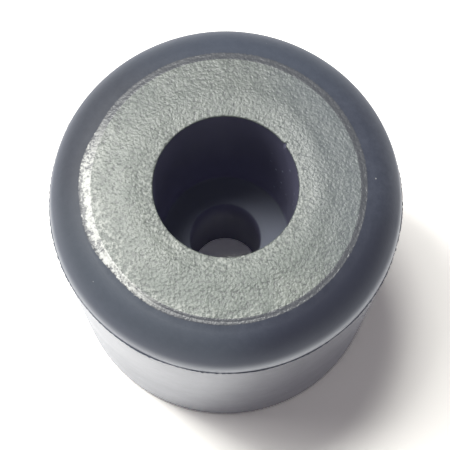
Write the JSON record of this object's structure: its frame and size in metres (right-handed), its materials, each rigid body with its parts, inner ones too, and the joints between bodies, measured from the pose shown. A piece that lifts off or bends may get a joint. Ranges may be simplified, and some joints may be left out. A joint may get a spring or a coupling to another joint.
{
  "type": "rubber foot",
  "caption": "Tall round moulded rubber foot with a rounded shoulder, a raised grained floor face and a deep counterbored screw hole.",
  "frame": {"origin": "centre of the flat mounting face, where the foot stands in the picture", "axes": "+Z along the screw hole from the mounting face to the raised face that meets the floor"},
  "size_m": [0.0404, 0.0404, 0.04],
  "materials": {
    "rubber": "black rubber, satin and smooth on the shoulder and wall, fine matt grain on the raised face"
  },
  "bodies": {
    "root": {"foot": "rubber"}
  },
  "joints": []
}
